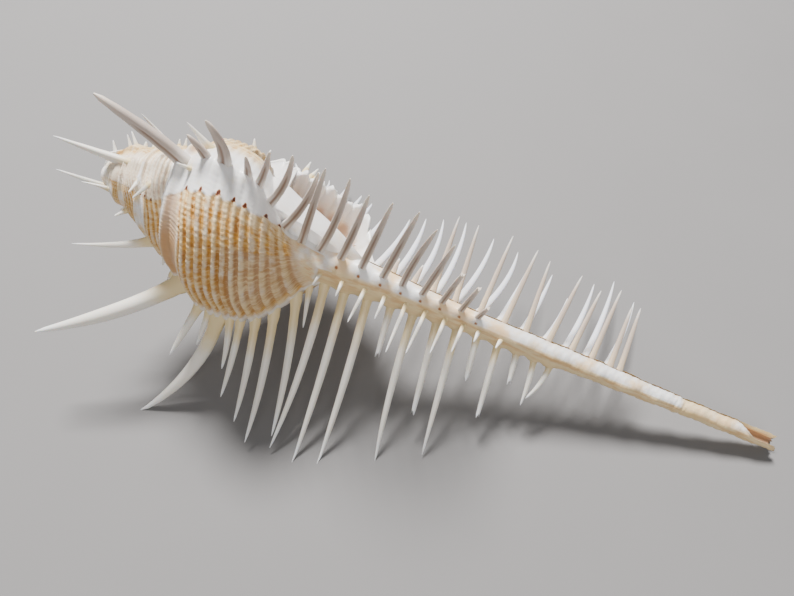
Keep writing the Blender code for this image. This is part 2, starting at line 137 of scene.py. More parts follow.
def curve(value, points):
    """A smooth size read from a short list of (place, size) pairs."""
    xs, ys = np.array(points, float).T
    slope = np.gradient(ys, xs)
    value = np.clip(value, xs[0], xs[-1])
    i = np.clip(np.searchsorted(xs, value, side="right") - 1, 0, len(xs) - 2)
    step = xs[i + 1] - xs[i]
    t = (value - xs[i]) / step
    return ((1 + 2 * t) * (1 - t) ** 2 * ys[i] + t * (1 - t) ** 2 * step * slope[i]
            + t * t * (3 - 2 * t) * ys[i + 1] - t * t * (1 - t) * step * slope[i + 1])


def smooth(value, start, end):
    t = np.clip((value - start) / (end - start), 0.0, 1.0)
    return t * t * (3.0 - 2.0 * t)


def bump(value, middle, width):
    return np.exp(-((value - middle) / width) ** 2)


def rest(points):
    """Points in the shell's own axes, in millimetres, put where the shell lies, in metres."""
    x, y, z = np.moveaxis(points, -1, 0)
    c, s = math.cos(math.radians(PITCH)), math.sin(math.radians(PITCH))
    lift = END_HEIGHT + LENGTH * s
    return np.stack([x * c + z * s - MIDDLE[0], y - MIDDLE[1], z * c - x * s + lift], -1) * MM


def laid(place, radius, angle):
    """Points given by place, radius and angle, put where the shell lies."""
    turn = np.radians(angle)
    return rest(np.stack([place + 0.0 * turn, -radius * np.sin(turn), radius * np.cos(turn)], -1))


def size_at(angle):
    """How big the shell is at an angle, against its size at the front row."""
    return GROWTH ** ((angle - FRONT) / 360.0)


def row_angle(row, place):
    """A row of spines keeps one angle on the body and turns to another along the canal."""
    canal, start, end = TWISTS[row]
    return row + (canal - row) * np.clip((place - start) / (end - start), 0.0, 1.0)


def whorl_radius(place, angle):
    """The radius of the outermost whorl, without cords, varices or swelling."""
    best = np.zeros_like(place)
    for older in range(5):
        size = size_at(angle) / GROWTH ** older
        behind = (place + SETBACK) / size
        radius = size * curve(behind, WHORL)
        if older == 0:
            radius = radius * (1.0 - 0.03 * np.clip((angle - FRONT) / (LIP - FRONT), 0.0, 1.0))
        best = np.maximum(best, np.where(behind >= WHORL[0][0], radius, 0.0))
    return best


def cord(behind):
    """Height of the spiral cords: their strengths on the crests, and below zero in the grooves."""
    turns = (behind - FIRST_CORD) / CORD_PITCH
    strength = curve(turns, tuple(enumerate(CORDS)))
    inside = smooth(turns, -0.9, -0.4) * (1.0 - smooth(turns, len(CORDS) - 0.9, len(CORDS) + 0.2))
    wave = strength * np.cos(2.0 * np.pi * turns) + 0.22 * np.cos(4.0 * np.pi * turns + np.pi)
    return inside * wave


def cord_line(behind, angle):
    """The cords bend towards the spire where they near the top varix."""
    bend = curve(behind, ((20.0, 2.2), (24.0, 2.0), (28.0, 1.3), (34.0, 0.9), (36.0, 0.4), (40.0, 0.8)))
    return behind + bend * (1.0 - smooth(angle, 12.0, 64.0)) * smooth(angle, -60.0, -20.0)


def away_from(row, place, angle):
    """The angle from a row to a point, between -180 and 180."""
    return (angle - row_angle(row, place) + 180.0) % 360.0 - 180.0


def varix(place, angle):
    """How far up a varix a point is, from 0 to 1: each varix is steeper on its newer side."""
    wave = np.zeros_like(place)
    for row in (TOP, FRONT, BACK):
        away = away_from(row, place, angle)
        wave = np.maximum(wave, np.exp(-(away / np.where(away > 0.0, 9.0, 13.0)) ** 2))
    return wave


def root_mounds(place, angle):
    """The buttress that each spine stands on."""
    height = np.zeros_like(place)
    for row, spines in ((TOP, TOP_SPINES), (FRONT, FRONT_SPINES), (BACK, BACK_SPINES)):
        away = away_from(row, place, angle)
        for root, reach, lean, width, bow in spines:
            if root < 50.0:
                long = 0.55 * width + 0.35
                mound = bump(place, root + 0.02 * lean, long) * bump(away, 1.0, 7.0)
                height = np.maximum(height, (0.30 + 0.2 * width) * mound)
    return height


def swelling(place, angle):
    toward = 0.5 + 0.5 * np.cos(np.radians(angle - SWELL_ANGLE))
    return curve(place, SWELL) * toward


def outer_radius(place, angle):
    """The outside of the whorls, with its cords, varices, mounds, glaze and growth lines."""
    behind = (place + SETBACK) / size_at(angle)
    line = cord_line(behind, angle)
    radius = whorl_radius(place, angle)
    plain = smooth(angle, INNER_EDGE, INNER_EDGE + 30.0)
    wave = varix(place, angle)
    scale = np.clip(radius / 14.4, 0.0, 1.0)
    beads = 1.0 + 0.16 * np.sin(angle * 1.35 + line * 4.0) + 0.10 * np.sin(angle * 3.1 - line * 2.3)
    cords = 0.36 * cord(line) * beads
    older = 0.24 * cord(line * GROWTH) * beads + 0.16 * cord(line * GROWTH * GROWTH)
    step = smooth(angle - glaze_edge(place), 1.2, -1.2)
    step = step * smooth(away_from(TOP, place, angle), -30.0, -10.0)
    on_last = smooth(behind, 17.2, 17.8)
    radius = radius + plain * (cords * on_last * (1.0 - 0.9 * step) + older * (1.0 - on_last))
    radius = radius + 1.15 * wave * scale + root_mounds(place, angle) * scale + 0.16 * step * scale
    growth = 0.05 * np.sin(angle * 1.9 + 0.6 * np.sin(place * 1.3)) + 0.04 * np.sin(angle * 4.7 + place)
    growth = growth * (0.3 + 0.7 * smooth(angle - glaze_edge(place), -1.0, 1.0))
    growth = growth - 0.10 * smooth(angle, 47.0, 50.0) * (1.0 - smooth(angle, 50.0, 75.0))
    return radius + growth * plain * on_last * scale + swelling(place, angle)


# Dots where the glaze of the top varix ends: place, angle, and size
DOTS = ((17.7, 21.0, 0.9), (20.2, 20.0, 0.9), (22.8, 18.0, 1.15), (25.2, 18.0, 0.9), (26.9, 18.0, 1.0),
        (29.9, 15.0, 0.85), (31.9, 12.0, 0.8), (35.2, 12.0, 0.95))
GLAZE_EDGE = ((2.0, 44.0), (6.0, 40.0), (13.2, 38.0), (15.8, 27.0), (17.7, 21.5), (20.2, 20.5),
              (22.8, 18.5), (26.9, 18.5), (29.9, 15.5), (31.9, 12.5), (35.2, 12.0), (39.0, 20.0),
              (46.0, 26.0))
# The same dots on the whorl before, by their places
OLDER_DOTS, OLDER_DOTS_ANGLE = (8.6, 9.8, 11.0, 12.3), 40.0


def glaze_edge(place):
    """The angle at which the top varix's glaze gives way to ribs: it reaches on between the dots."""
    near = np.zeros_like(place)
    for dot, angle, size in DOTS:
        near = np.maximum(near, bump(place, dot, 0.75))
    reach = 2.6 * (1.0 - near) * smooth(place, 16.5, 18.0) * (1.0 - smooth(place, 33.0, 35.0))
    return curve(place, GLAZE_EDGE) + reach


def lip_flare(place, angle):
    """The outer lip is drawn in over the mouth and turns out near the neck."""
    late = smooth(angle, 246.0, LIP)
    drawn_in = 1.5 * smooth(place, 25.0, 28.0) * (1.0 - smooth(place, 40.0, 43.5))
    return late * (1.5 * bump(place, 44.0, 3.6) - drawn_in)


def inner_lip(place):
    return curve(place, INNER_LIP)


def mouth_shape(place_at_lip):
    """How open the mouth is in each row, and the radius of its middle."""
    u = (place_at_lip - MOUTH_PLACE) / MOUTH_HALF
    wide = np.sqrt(np.clip(1.0 - u * u, 0.0, 1.0))
    return wide, curve(place_at_lip, MOUTH_MIDDLE)


def columella(place):
    return curve(place, COLUMELLA)


def least_radius(place):
    """The wall never comes nearer to the axis than this."""
    return np.where(place < 40.0, np.minimum(4.2, 0.75 * (place + SETBACK)), 1.0)


def grown(turned):
    """How far the shell had grown where the grid runs back from the top row to the inner lip."""
    warped = (TOP - turned) / (TOP - LIP + 360.0)
    return TOP + warped * (LIP - TOP)


def wrapped(values, columns):
    """The last column lies on the first."""
    return np.concatenate([values, values[:, :1]], 1)[:, :columns + 1]


# The outer lip: how thick it is, and how wide its lobes are
WALL = 0.9
LOBE_PITCH = 1.95
# Columns of the whorls' grid: outside, over the lip's edge, along each wall of the mouth, on to the
# foot of the inner lip, and up it
OUTSIDE, EDGE, INSIDE, FLOOR, BLADE = 312, 3, 24, 26, 7
WHORL_ROWS = np.concatenate([np.linspace(1.75, 6.0, 22), np.linspace(6.15, 15.0, 46)[:-1],
                             np.arange(15.0, 40.6, 0.15), np.linspace(40.9, 46.0, 16)])


def add_grid(name, columns, rows):
    bpy.ops.object.select_all(action="DESELECT")
    bpy.ops.mesh.primitive_grid_add(x_subdivisions=columns, y_subdivisions=rows, size=1.0)
    grid = bpy.context.object
    grid.name = name
    return grid


def make_whorls():
    """One grid wraps all the whorls: outside, round the lip, into the mouth, and over the inner lip."""
    columns = OUTSIDE + EDGE + 2 * INSIDE + FLOOR + BLADE
    shell = add_grid("whorls", columns, len(WHORL_ROWS) - 1)
    b = WHORL_ROWS[:, None]
    place_at_lip = b * size_at(LIP) - SETBACK
    wide, middle = mouth_shape(place_at_lip)
    deep = 0.4 + 3.6 * np.clip(wide * 2.5, 0.0, 1.0) + 84.0 * wide

    lobed = smooth(place_at_lip, 29.0, 31.0) * (1.0 - smooth(place_at_lip, 46.0, 48.0))
    lobe_turn = np.pi * (place_at_lip + 0.35 * np.sin(place_at_lip * 1.1) - 28.6) / LOBE_PITCH
    lobes = np.abs(np.cos(lobe_turn)) ** 0.4
    ragged = 0.8 + 0.2 * np.sin(place_at_lip * 2.3)
    lip_at = LIP - 1.0 + (7.5 * lobes * ragged - 3.5) * lobed

    # Outside, from the inner lip round to the outer lip
    t = np.linspace(0.0, 1.0, OUTSIDE)[None, :]
    angle_out = INNER_EDGE + 0.4 + (lip_at - INNER_EDGE - 0.4) * t
    place_out = b * size_at(np.where(angle_out < TOP, grown(angle_out), angle_out)) - SETBACK
    radius_out = outer_radius(place_out, angle_out) + lip_flare(place_out, angle_out)
    share = np.clip((angle_out - INNER_EDGE) / (TOP - INNER_EDGE), 0.0, 1.0)
    callus = inner_lip(place_out) * (1.0 - 0.12 * share)
    callus = np.where(share < 1.0, callus, 0.0) * smooth(place_out, 21.0, 24.0)
    radius_out = np.maximum(radius_out, callus)
    fold = smooth(angle_out, lip_at - 7.0, lip_at - 0.5)
    radius_out = radius_out + 0.16 * (lobes - 0.5) * lobed * fold
    radius_out = np.maximum(radius_out, least_radius(place_out))
    in_canal = smooth(place_out, 45.0, 51.0)
    sunk = np.minimum(radius_out, canal_radius(place_out) - 0.35)
    radius_out = radius_out * (1.0 - in_canal) + in_canal * sunk

    # Over the rounded edge of the lip, then along its inner face
    lip_radius = radius_out[:, -1:]
    fade = np.clip(wide * 2.5, 0.0, 1.0)
    near = np.exp(-((place_at_lip - place_at_lip.T) / 1.6) ** 2)
    even_lip = near @ lip_radius / near.sum(1, keepdims=True)
    inner_face = np.minimum(even_lip - WALL, middle + 0.5 + (even_lip - middle) * wide ** 0.7)
    inner_face = lip_radius - (lip_radius - inner_face) * (0.15 + 0.85 * fade)
    floor_at_lip = middle - np.minimum(5.4 * wide ** 0.8, middle - columella(place_at_lip))
    floor_at_lip = np.minimum(floor_at_lip, inner_face - 0.3)
    shut = np.maximum(whorl_radius(place_at_lip, LIP - 360.0 + 0.0 * b), columella(place_at_lip))
    shut = shut + swelling(place_at_lip, LIP)
    over_floor = np.maximum(floor_at_lip, np.minimum(shut, inner_face - 0.3))
    floor_at_lip = np.where(wide > 0.0, over_floor, shut)
    middle = fade * middle + (1.0 - fade) * 0.5 * (inner_face + floor_at_lip)
    e = np.linspace(0.0, 1.0, EDGE + 2)[None, 1:-1]
    angle_edge = lip_at + 1.1 * np.sin(np.pi * e) * fade
    radius_edge = lip_radius + (inner_face - lip_radius) * (0.5 - 0.5 * np.cos(np.pi * e))
    place_edge = b * size_at(angle_edge) - SETBACK

    i = np.linspace(0.0, 1.0, INSIDE)[None, :]
    into = np.sin(0.5 * np.pi * i)
    angle_in = lip_at - deep * into
    swell = np.cos(0.5 * np.pi * i) ** 0.7
    thick = 0.9 * smooth(deep * into, 0.0, 14.0) * fade
    radius_in = middle + (inner_face - middle) * swell - thick * swell
    place_in = b * size_at(angle_in) - SETBACK

    angle_back = angle_in[:, ::-1]
    swell_back = swell[:, ::-1]
    radius_back = middle - (middle - floor_at_lip) * swell_back
    place_back = b * size_at(angle_back) - SETBACK

    # From under the lip to the foot of the inner lip
    f = np.linspace(0.0, 1.0, FLOOR + 1)[None, 1:]
    foot = INNER_EDGE + 360.0 - 5.0
    angle_floor = lip_at + (foot - lip_at) * f
    turned = angle_floor - 360.0
    place_floor = b * size_at(grown(turned)) - SETBACK
    old = whorl_radius(place_floor, turned)
    bare = np.maximum(old, columella(place_floor))
    bare = np.maximum(bare, least_radius(place_floor))
    behind_old = (place_floor + SETBACK) / size_at(turned)
    bare = bare + 0.30 * cord(behind_old) * (1.0 - fade) * (old >= columella(place_floor))
    bare = bare + swelling(place_floor, turned)
    rise = np.minimum(bare, inner_lip(place_floor) - 0.6) - floor_at_lip
    scooped = floor_at_lip + rise * smooth(f, 0.1, 0.9)
    radius_floor = bare + (np.maximum(scooped, columella(place_floor)) - bare) * fade

    # Up the inner lip and over its sharp edge
    k = np.linspace(0.0, 1.0, BLADE + 1)[None, 1:]
    edge_radius = radius_out[:, :1]
    foot_radius = radius_floor[:, -1:]
    lean = (360.0 + INNER_EDGE + 0.4 - foot) * k ** 0.35 - 0.5 * np.sin(np.pi * k)
    angle_blade = foot + lean + 0.0 * b
    radius_blade = foot_radius + (edge_radius - foot_radius) * k ** 1.6
    place_blade = b * size_at(grown(angle_blade - 360.0)) - SETBACK

    # The columns start and end at the edge of the inner lip
    # Painted shade: the inside of the mouth darkens the deeper it lies, and its floor and the foot of the
    # inner lip are painted partly dark.
    shade = smooth(deep * into, 5.0, 34.0) * fade
    shut_in = 1.0 - fade
    stretches = ((angle_out, angle_edge, angle_in, angle_back, angle_floor, angle_blade),
                 (radius_out, radius_edge, radius_in, radius_back, radius_floor, radius_blade),
                 (place_out, place_edge, place_in, place_back, place_floor, place_blade),
                 (0.0 * angle_out, 0.0 * angle_edge, shade, shade[:, ::-1],
                  0.45 * fade + 0.0 * angle_floor, 0.35 * fade * (1.0 - k)),
                 (np.ones_like(angle_out), 0.0 * angle_edge, 0.0 * angle_in, 0.0 * angle_back,
                  shut_in + 0.0 * angle_floor, shut_in + 0.0 * angle_blade))
    angle, radius, place, painted_inner_shade, outside = (wrapped(np.concatenate(parts, 1), columns)
                                             for parts in stretches)
    # The grid closes at the apex and, inside the canal, on the axis
    place[0], radius[0] = -0.3, 0.0
    radius[-1] = 0.0
    place[-1] = 52.0
    lay_grid(shell, laid(place, radius, angle))
    paint_whorls(shell, place, angle, painted_inner_shade, outside)
    close_grid(shell)
    return shell


def lay_grid(obj, points):
    """Puts the vertices of a primitive grid on a surface, row by row."""
    mesh = obj.data
    flat = points.reshape(-1, 3)
    if len(mesh.vertices) != len(flat):
        raise ValueError(f"{obj.name}: {len(mesh.vertices)} vertices for {len(flat)} points")
    mesh.vertices.foreach_set("co", flat.astype(np.float32).ravel())
    mesh.update()


def give(obj, name, values):
    """Writes a value on each vertex, for the materials to read."""
    attribute = obj.data.attributes.get(name) or obj.data.attributes.new(name, "FLOAT", "POINT")
    attribute.data.foreach_set("value", np.asarray(values, np.float32).ravel())


def close_grid(obj, open_ends=False):
    """Merges a wrapped grid's seam and poles, fills open ends, and turns its faces outwards."""
    bpy.ops.object.select_all(action="DESELECT")
    obj.select_set(True)
    bpy.context.view_layer.objects.active = obj
    bpy.ops.object.mode_set(mode="EDIT")
    bpy.ops.mesh.select_all(action="SELECT")
    bpy.ops.mesh.remove_doubles(threshold=MERGE)
    if open_ends:
        bpy.ops.mesh.select_all(action="DESELECT")
        bpy.ops.mesh.select_non_manifold(extend=False, use_wire=False, use_boundary=True,
                                         use_multi_face=False, use_non_contiguous=False,
                                         use_verts=False)
        bpy.ops.mesh.edge_face_add()
        bpy.ops.mesh.select_all(action="SELECT")
    bpy.ops.mesh.normals_make_consistent(inside=False)
    bpy.ops.object.mode_set(mode="OBJECT")
    bpy.ops.object.shade_smooth()
    if open_ends:
        bpy.ops.object.shade_smooth_by_angle(angle=math.radians(48.0))


def paint_whorls(obj, place, angle, painted_inner_shade, outside):
    """Attributes that the material reads: ribs, glaze, ramp, the painted shade inside the mouth, and the
    dots beside the spines.
    """
    turned = np.where(angle > LIP + 8.0, angle - 360.0, angle)
    behind = (place + SETBACK) / size_at(turned)
    line = cord_line(behind, turned)
    on_last = smooth(behind, 17.2, 17.6)
    ribs = cord(line)
    ribbed = smooth(line, RIBS_START, RIBS_START + 0.7) * (1.0 - smooth(behind, 40.0, 42.0))
    for older in (1, 2, 3):
        shrunk = GROWTH ** older
        newer = behind * shrunk / GROWTH > SUTURE
        ribs = np.where(newer, ribs, cord(line * shrunk))
        ribbed = np.where(newer, ribbed, smooth(line * shrunk, 22.0, 22.8))
    ribs, ribbed = ribs * outside, ribbed * outside
    away = away_from(TOP, place, turned)
    glaze = smooth(away, -26.0, -8.0) * smooth(turned - glaze_edge(place), 0.7, -0.7)
    front = np.abs(away_from(FRONT, place, turned))
    back = np.abs(away_from(BACK, place, turned))
    glaze = np.maximum(glaze, 0.75 * smooth(front, 12.0, 5.0))
    glaze = np.maximum(glaze, 0.85 * smooth(back, 16.0, 5.0))
    glaze = np.maximum(glaze, smooth(turned, 4.0, -8.0) * smooth(place, 25.0, 27.0))
    glaze = np.maximum(glaze, smooth(turned, 262.0, 271.0) * outside)
    glaze = np.maximum(glaze, 0.9 * bump(behind, 17.9, 0.5) * smooth(turned, 66.0, 45.0) * outside)
    ramp = smooth(behind, 18.2, 18.9) * smooth(line, 22.6, 21.6) * outside
    dots = np.zeros_like(place)
    for dot, angle_of, size in DOTS:
        drop = bump(place, dot, 0.25 * size) * bump(turned, angle_of - 0.4, 1.9 * size)
        foot = bump(place, dot, 0.45 * size) * bump(turned, angle_of + 0.6, 0.7 * size)
        dots = np.maximum(dots, np.maximum(drop, 0.8 * foot))
    for dot in OLDER_DOTS:
        dots = np.maximum(dots, 0.8 * bump(place, dot, 0.22) * bump(turned, OLDER_DOTS_ANGLE, 2.2))
    give(obj, "rib", ribs)
    give(obj, "ribbed", ribbed)
    glaze = np.where(behind < SUTURE, 0.45 * glaze, glaze)
    give(obj, "glaze", np.maximum(glaze, 1.0 - outside) * (1.0 - painted_inner_shade))
    give(obj, "ramp", ramp * on_last)
    # The mouth attribute is the painted shade inside the mouth, which also keeps the glaze out of it.
    give(obj, "mouth", painted_inner_shade)
    give(obj, "dots", dots * outside)
    give(obj, "around", turned / 360.0)
    give(obj, "behind", line)


def canal_radius(place):
    """The canal keeps nearly one width, with a small step where its last stretch grew on."""
    return np.interp(place, *zip(*CANAL))


# The canal: its slit, its wall, where its last stretch grew on, where its end is broken open, and
# the columns and rows of its grid
SLIT_HALF_WIDTH = 0.36
CANAL_WALL = 0.52
LAST_GROWTH = 109.4
BROKEN_OPEN = (120.5, 125.5)
CANAL_OUTER, CANAL_INNER = 56, 32
CANAL_PLACES = np.concatenate([np.linspace(39.0, 60.0, 90), np.linspace(60.3, 108.0, 160),
                               np.linspace(108.2, 111.0, 18), np.linspace(111.4, LENGTH, 60)])


def canal_profile(place):
    """Radius of a section, half the angle that the slit leaves open, and the middle of the slit."""
    radius = canal_radius(place) + 0.14 * smooth(place, LAST_GROWTH + 0.1, LAST_GROWTH + 1.6)
    radius = radius + 0.12 * bump(place, LAST_GROWTH, 0.7)
    opened = smooth(place, *BROKEN_OPEN)
    half = np.degrees(SLIT_HALF_WIDTH / radius) + 40.0 * opened
    return radius, half, SLIT + 34.0 * opened


def make_canal():
    """A tube with an open slit: round the outside, and back along the wall inside."""
    tube = add_grid("canal", CANAL_OUTER + CANAL_INNER, len(CANAL_PLACES) - 1)
    p = CANAL_PLACES[:, None]
    radius, half, slit_at = canal_profile(p)
    t = np.linspace(0.0, 1.0, CANAL_OUTER)[None, :]
    angle_out = slit_at + half + (360.0 - 2.0 * half) * t
    wave = 0.06 * np.sin(p * 0.9 + angle_out * 0.02) + 0.03 * np.sin(p * 2.7 + 1.0)
    # A low ridge runs along each row as far as a place of its own, with a bead under each spine
    ridges = []
    beads = np.zeros_like(angle_out)
    for row, spines, height, spread, end in ((TOP, TOP_SPINES, 0.30, 22.0, (66.0, 76.0)),
                                             (FRONT, FRONT_SPINES, 0.35, 20.0, (84.0, 90.0)),
                                             (BACK, BACK_SPINES, 0.3, 20.0, (98.0, 102.0))):
        away = away_from(row, p + 0.0 * t, angle_out)
        ridges.append(height * bump(away, 0.0, spread) * (1.0 - smooth(p, *end)))
        for root, reach, lean, width, bow in spines:
            if root > 42.0:
                beads = np.maximum(beads, 0.55 * bump(p, root, 0.9 * width) * bump(away, 0.0, 26.0))
    knobs = 0.16 * bump(p, 99.0, 2.2) + 0.10 * bump(p, 93.5, 1.2) + 0.08 * bump(p, 104.0, 1.5)
    knobs = knobs * (0.5 + 0.5 * np.sin(np.radians(angle_out) * 3.0 + p))
    fine = 0.035 * np.sin(p * 4.3 + 2.0 * np.sin(np.radians(angle_out) * 4.0))
    fine = fine + 0.03 * np.sin(p * 7.9 + angle_out * 0.05)
    uneven = (wave + fine + knobs) * smooth(p, 70.0, 84.0)
    rim = bump(angle_out, slit_at + half, 9.0) + bump(angle_out, slit_at + 360.0 - half, 9.0)
    rim = 0.16 * rim * smooth(p, 46.0, 52.0)
    radius_out = radius + sum(ridges) + beads + uneven + rim
    s = np.linspace(0.0, 1.0, CANAL_INNER + 2)[None, 1:-1]
    radius_in = radius - CANAL_WALL * smooth(np.sin(np.pi * s), -0.1, 0.25)
    angle_in = slit_at + half + (360.0 - 2.0 * half) * (1.0 - s)
    angle = np.concatenate([angle_out, angle_in, angle_out[:, :1]], 1)
    radii = np.concatenate([radius_out, radius_in, radius_out[:, :1]], 1)
    # Painted shade: the canal's inner wall is marked to be painted dark brown.
    inside = smooth(np.sin(np.pi * s), 0.1, 0.5) + 0.0 * angle_in
    painted_inner_shade = np.concatenate([0.0 * angle_out, inside, 0.0 * angle_out[:, :1]], 1)
    place = p + 0.0 * angle
    jag = 0.30 * np.sin(np.radians(angle) * 5.0) + 0.20 * np.sin(np.radians(angle) * 11.0 + 1.0)
    place = place + (jag - 0.3) * smooth(place, 127.0, LENGTH)
    lay_grid(tube, laid(place, radii, angle))
    away = away_from(TOP, place, angle)
    # The mouth attribute carries the painted shade on the inner wall.
    give(tube, "mouth", painted_inner_shade)
    give(tube, "band", smooth(np.abs(away + 12.0), 52.0, 40.0))
    give(tube, "front", smooth(np.abs(away_from(FRONT, place, angle)), 60.0, 18.0))
    dots = np.zeros_like(place)
    for root, reach, lean, width, bow in TOP_SPINES:
        if root > 34.0:
            dots = np.maximum(dots, bump(place, root + 0.1, 0.36) * bump(away, 27.0, 7.0))
    for root, reach, lean in SLIT_SPINES:
        if root > 58.0:
            stain = bump(place, root - 0.2, 0.3) * bump(angle % 360.0, SLIT_SPINE_ANGLE + 9.0, 8.0)
            dots = np.maximum(dots, 0.9 * stain)
    notches = smooth(np.cos(2.0 * np.pi * (place - 42.6) / 3.95), 0.2, 0.9) * bump(away, 42.0, 12.0)
    give(tube, "dots", np.maximum(dots, 0.42 * notches * (1.0 - smooth(place, 66.0, 72.0))))
    give(tube, "along", place / LENGTH)
    give(tube, "around", angle / 360.0)
    close_grid(tube, open_ends=True)
    return tube


SPINE_SIDES = 16
BIG_SPINE = 2.9
LITTLE_POINT_DEPTH = 0.9
SPINE_STEPS = (0.0, 0.03, 0.06, 0.09, 0.125, 0.165, 0.21, 0.27, 0.34, 0.42, 0.50, 0.58, 0.66, 0.74, 0.82,
               0.89, 0.95, 1.0)


def model_spine():
    """A straight spine of unit length and radius, drawn out of a disc step by step."""
    bpy.ops.object.select_all(action="DESELECT")
    bpy.ops.mesh.primitive_circle_add(vertices=SPINE_SIDES, radius=1.0, fill_type="NGON")
    spine = bpy.context.object
    spine.name = "spine"
    bpy.ops.object.mode_set(mode="EDIT")
    bpy.ops.mesh.select_all(action="SELECT")
    for low, high in zip(SPINE_STEPS, SPINE_STEPS[1:]):
        bpy.ops.mesh.extrude_region_move(TRANSFORM_OT_translate={"value": (0.0, 0.0, high - low)})
    bpy.ops.mesh.select_all(action="SELECT")
    bpy.ops.mesh.normals_make_consistent(inside=False)
    bpy.ops.object.mode_set(mode="OBJECT")
    return spine


def at(place, radius, angle):
    turn = math.radians(angle)
    return np.array([place, -radius * math.sin(turn), radius * math.cos(turn)])


def unit(vectors):
    return vectors / np.linalg.norm(vectors, axis=-1, keepdims=True)


def grow_spine(master, root, tip, width, bow, surface, flare, slit, broken, seed, even, blunt=0.12):
    """A copy of the master spine, bent and drawn out to its tip, which is worn flat where it stands.

    The surface is how far along it comes out of the shell. Flare widens its foot, slit
    deepens the groove along it, even keeps its width for longer, and blunt is how wide its
    tip stays.
    """
    spine = master.copy()
    spine.data = master.data.copy()
    bpy.context.collection.objects.link(spine)
    co = np.zeros(len(spine.data.vertices) * 3, np.float32)
    spine.data.vertices.foreach_get("co", co)
    co = co.reshape(-1, 3).astype(float)
    t = co[:, 2]
    turn = np.arctan2(co[:, 1], co[:, 0])
    along = tip - root
    length = np.linalg.norm(along)
    axis = np.array([1.0, 0.0, 0.0])

    def centre(s):
        return root + along * s[:, None] + 4.0 * bow * (s * (1.0 - s))[:, None] * axis

    ahead = unit(centre(t + 0.01) - centre(t - 0.01))
    radial = unit(np.array([0.0, root[1], root[2]]) + 1e-9)
    growth = unit(np.cross(axis, radial))
    side = unit(axis - (ahead @ axis)[:, None] * ahead)
    front = np.cross(side, ahead)
    front = front * np.sign((front @ growth))[:, None]
    depth = np.clip(surface / length, 0.0, 0.6)
    out = np.clip((t - depth) * length, 0.0, None)
    end = 0.62 if broken else blunt
    taper = 1.0 - (1.0 - end) * t ** even
    if not broken:
        taper = taper * np.sqrt(np.clip(1.0 - ((t - 0.93) / 0.075) ** 2, 0.03, 1.0)) ** (t > 0.93)
    half = 0.5 * width * taper
    spread = flare * np.exp(-(out / (0.55 + 0.35 * width)) ** 1.3)
    wide = half * (1.0 + 0.18 * (1.0 - t)) + (0.35 + 0.42 * width) * spread
    thick = half * 0.92 + 0.30 * width * spread
    off_groove = np.angle(np.exp(1j * (turn - 0.5 * np.pi)))
    groove = slit * np.exp(-(off_groove / 0.55) ** 2) * (1.0 - smooth(t, 0.55, 0.9))
    ripple = 1.0 + 0.025 * np.sin(9.0 * t * length / 3.0 + seed) + 0.02 * np.sin(turn * 3.0 + seed)
    across = np.cos(turn) * wide * ripple
    up = np.sin(turn) * thick * ripple - groove * 0.42 * half * slit
    ragged = np.zeros_like(t)
    if broken:
        ragged = 0.35 * np.sin(turn * 2.0 + seed) + 0.2 * np.sin(turn * 5.0 + 2.0 * seed)
        ragged = ragged * width * smooth(t, 0.93, 1.0)
    points = centre(t) + across[:, None] * side + up[:, None] * front + ragged[:, None] * ahead
    points = rest(points)
    points[:, 2] = np.maximum(points[:, 2], 0.0)
    spine.data.vertices.foreach_set("co", points.astype(np.float32).ravel())
    spine.data.update()
    give(spine, "tipward", np.clip(out / max(length - surface, 0.1), 0.0, 1.0))
    # The groove's mask, which the spine materials paint dark as shade.
    give(spine, "slit", groove)
    return spine


def join_pieces(pieces, name):
    bpy.ops.object.select_all(action="DESELECT")
    for piece in pieces:
        piece.select_set(True)
    bpy.context.view_layer.objects.active = pieces[0]
    bpy.ops.object.join()
    joined = bpy.context.object
    joined.name = name
    joined.data.name = name
    bpy.ops.object.mode_set(mode="EDIT")
    bpy.ops.mesh.select_all(action="SELECT")
    bpy.ops.mesh.normals_make_consistent(inside=False)
    bpy.ops.object.mode_set(mode="OBJECT")
    bpy.ops.object.shade_smooth()
    bpy.ops.object.shade_smooth_by_angle(angle=math.radians(50.0))
    return joined


def surface_radius(place, angle):
    """The radius of the shell's surface at one place and angle."""
    turned = (angle - LIP) % 360.0 + LIP - 360.0
    p, a = np.array([[float(place)]]), np.array([[float(turned)]])
    body = float(outer_radius(p, a)[0, 0]) if place < 45.0 else 0.0
    canal = float(canal_radius(place))
    return max(body, canal)


def comb(master, name, row, sizes, broken, slit, flare, even, blunt, slim):
    """A row of spines along a varix; slim is how much narrower they are than in the solid."""
    pieces = []
    for number, (place, reach, lean, width, bow) in enumerate(sizes):
        angle = float(row_angle(row, place))
        tip_angle = LONG_FRONT_ANGLE if (row, place) == (FRONT, LONG_FRONT) else angle
        skin = surface_radius(place, angle)
        inner = max(skin - 1.8, 0.45 * skin)
        root, tip = at(place, inner, angle), at(place + lean, reach, tip_angle)
        wide = width * (slim if width < BIG_SPINE else 0.75)
        pieces.append(grow_spine(master, root, tip, wide, bow, skin - inner, flare, slit, place in broken,
                                 number, even, blunt))
    return join_pieces(pieces, name)


def short_comb(master, name, sizes, angle, width, slit, turned):
    """A row of thin spines, rooted a little way round from the angle at which their tips stand."""
    pieces = []
    for number, (place, reach, lean) in enumerate(sizes):
        skin = surface_radius(place, angle - turned)
        inner = 0.4 * skin
        root, tip = at(place, inner, angle - turned), at(place + lean, reach, angle)
        pieces.append(grow_spine(master, root, tip, width, 0.0,
                                 skin - inner, 0.15, slit, False, number, 3.4, 0.3))
    return join_pieces(pieces, name)


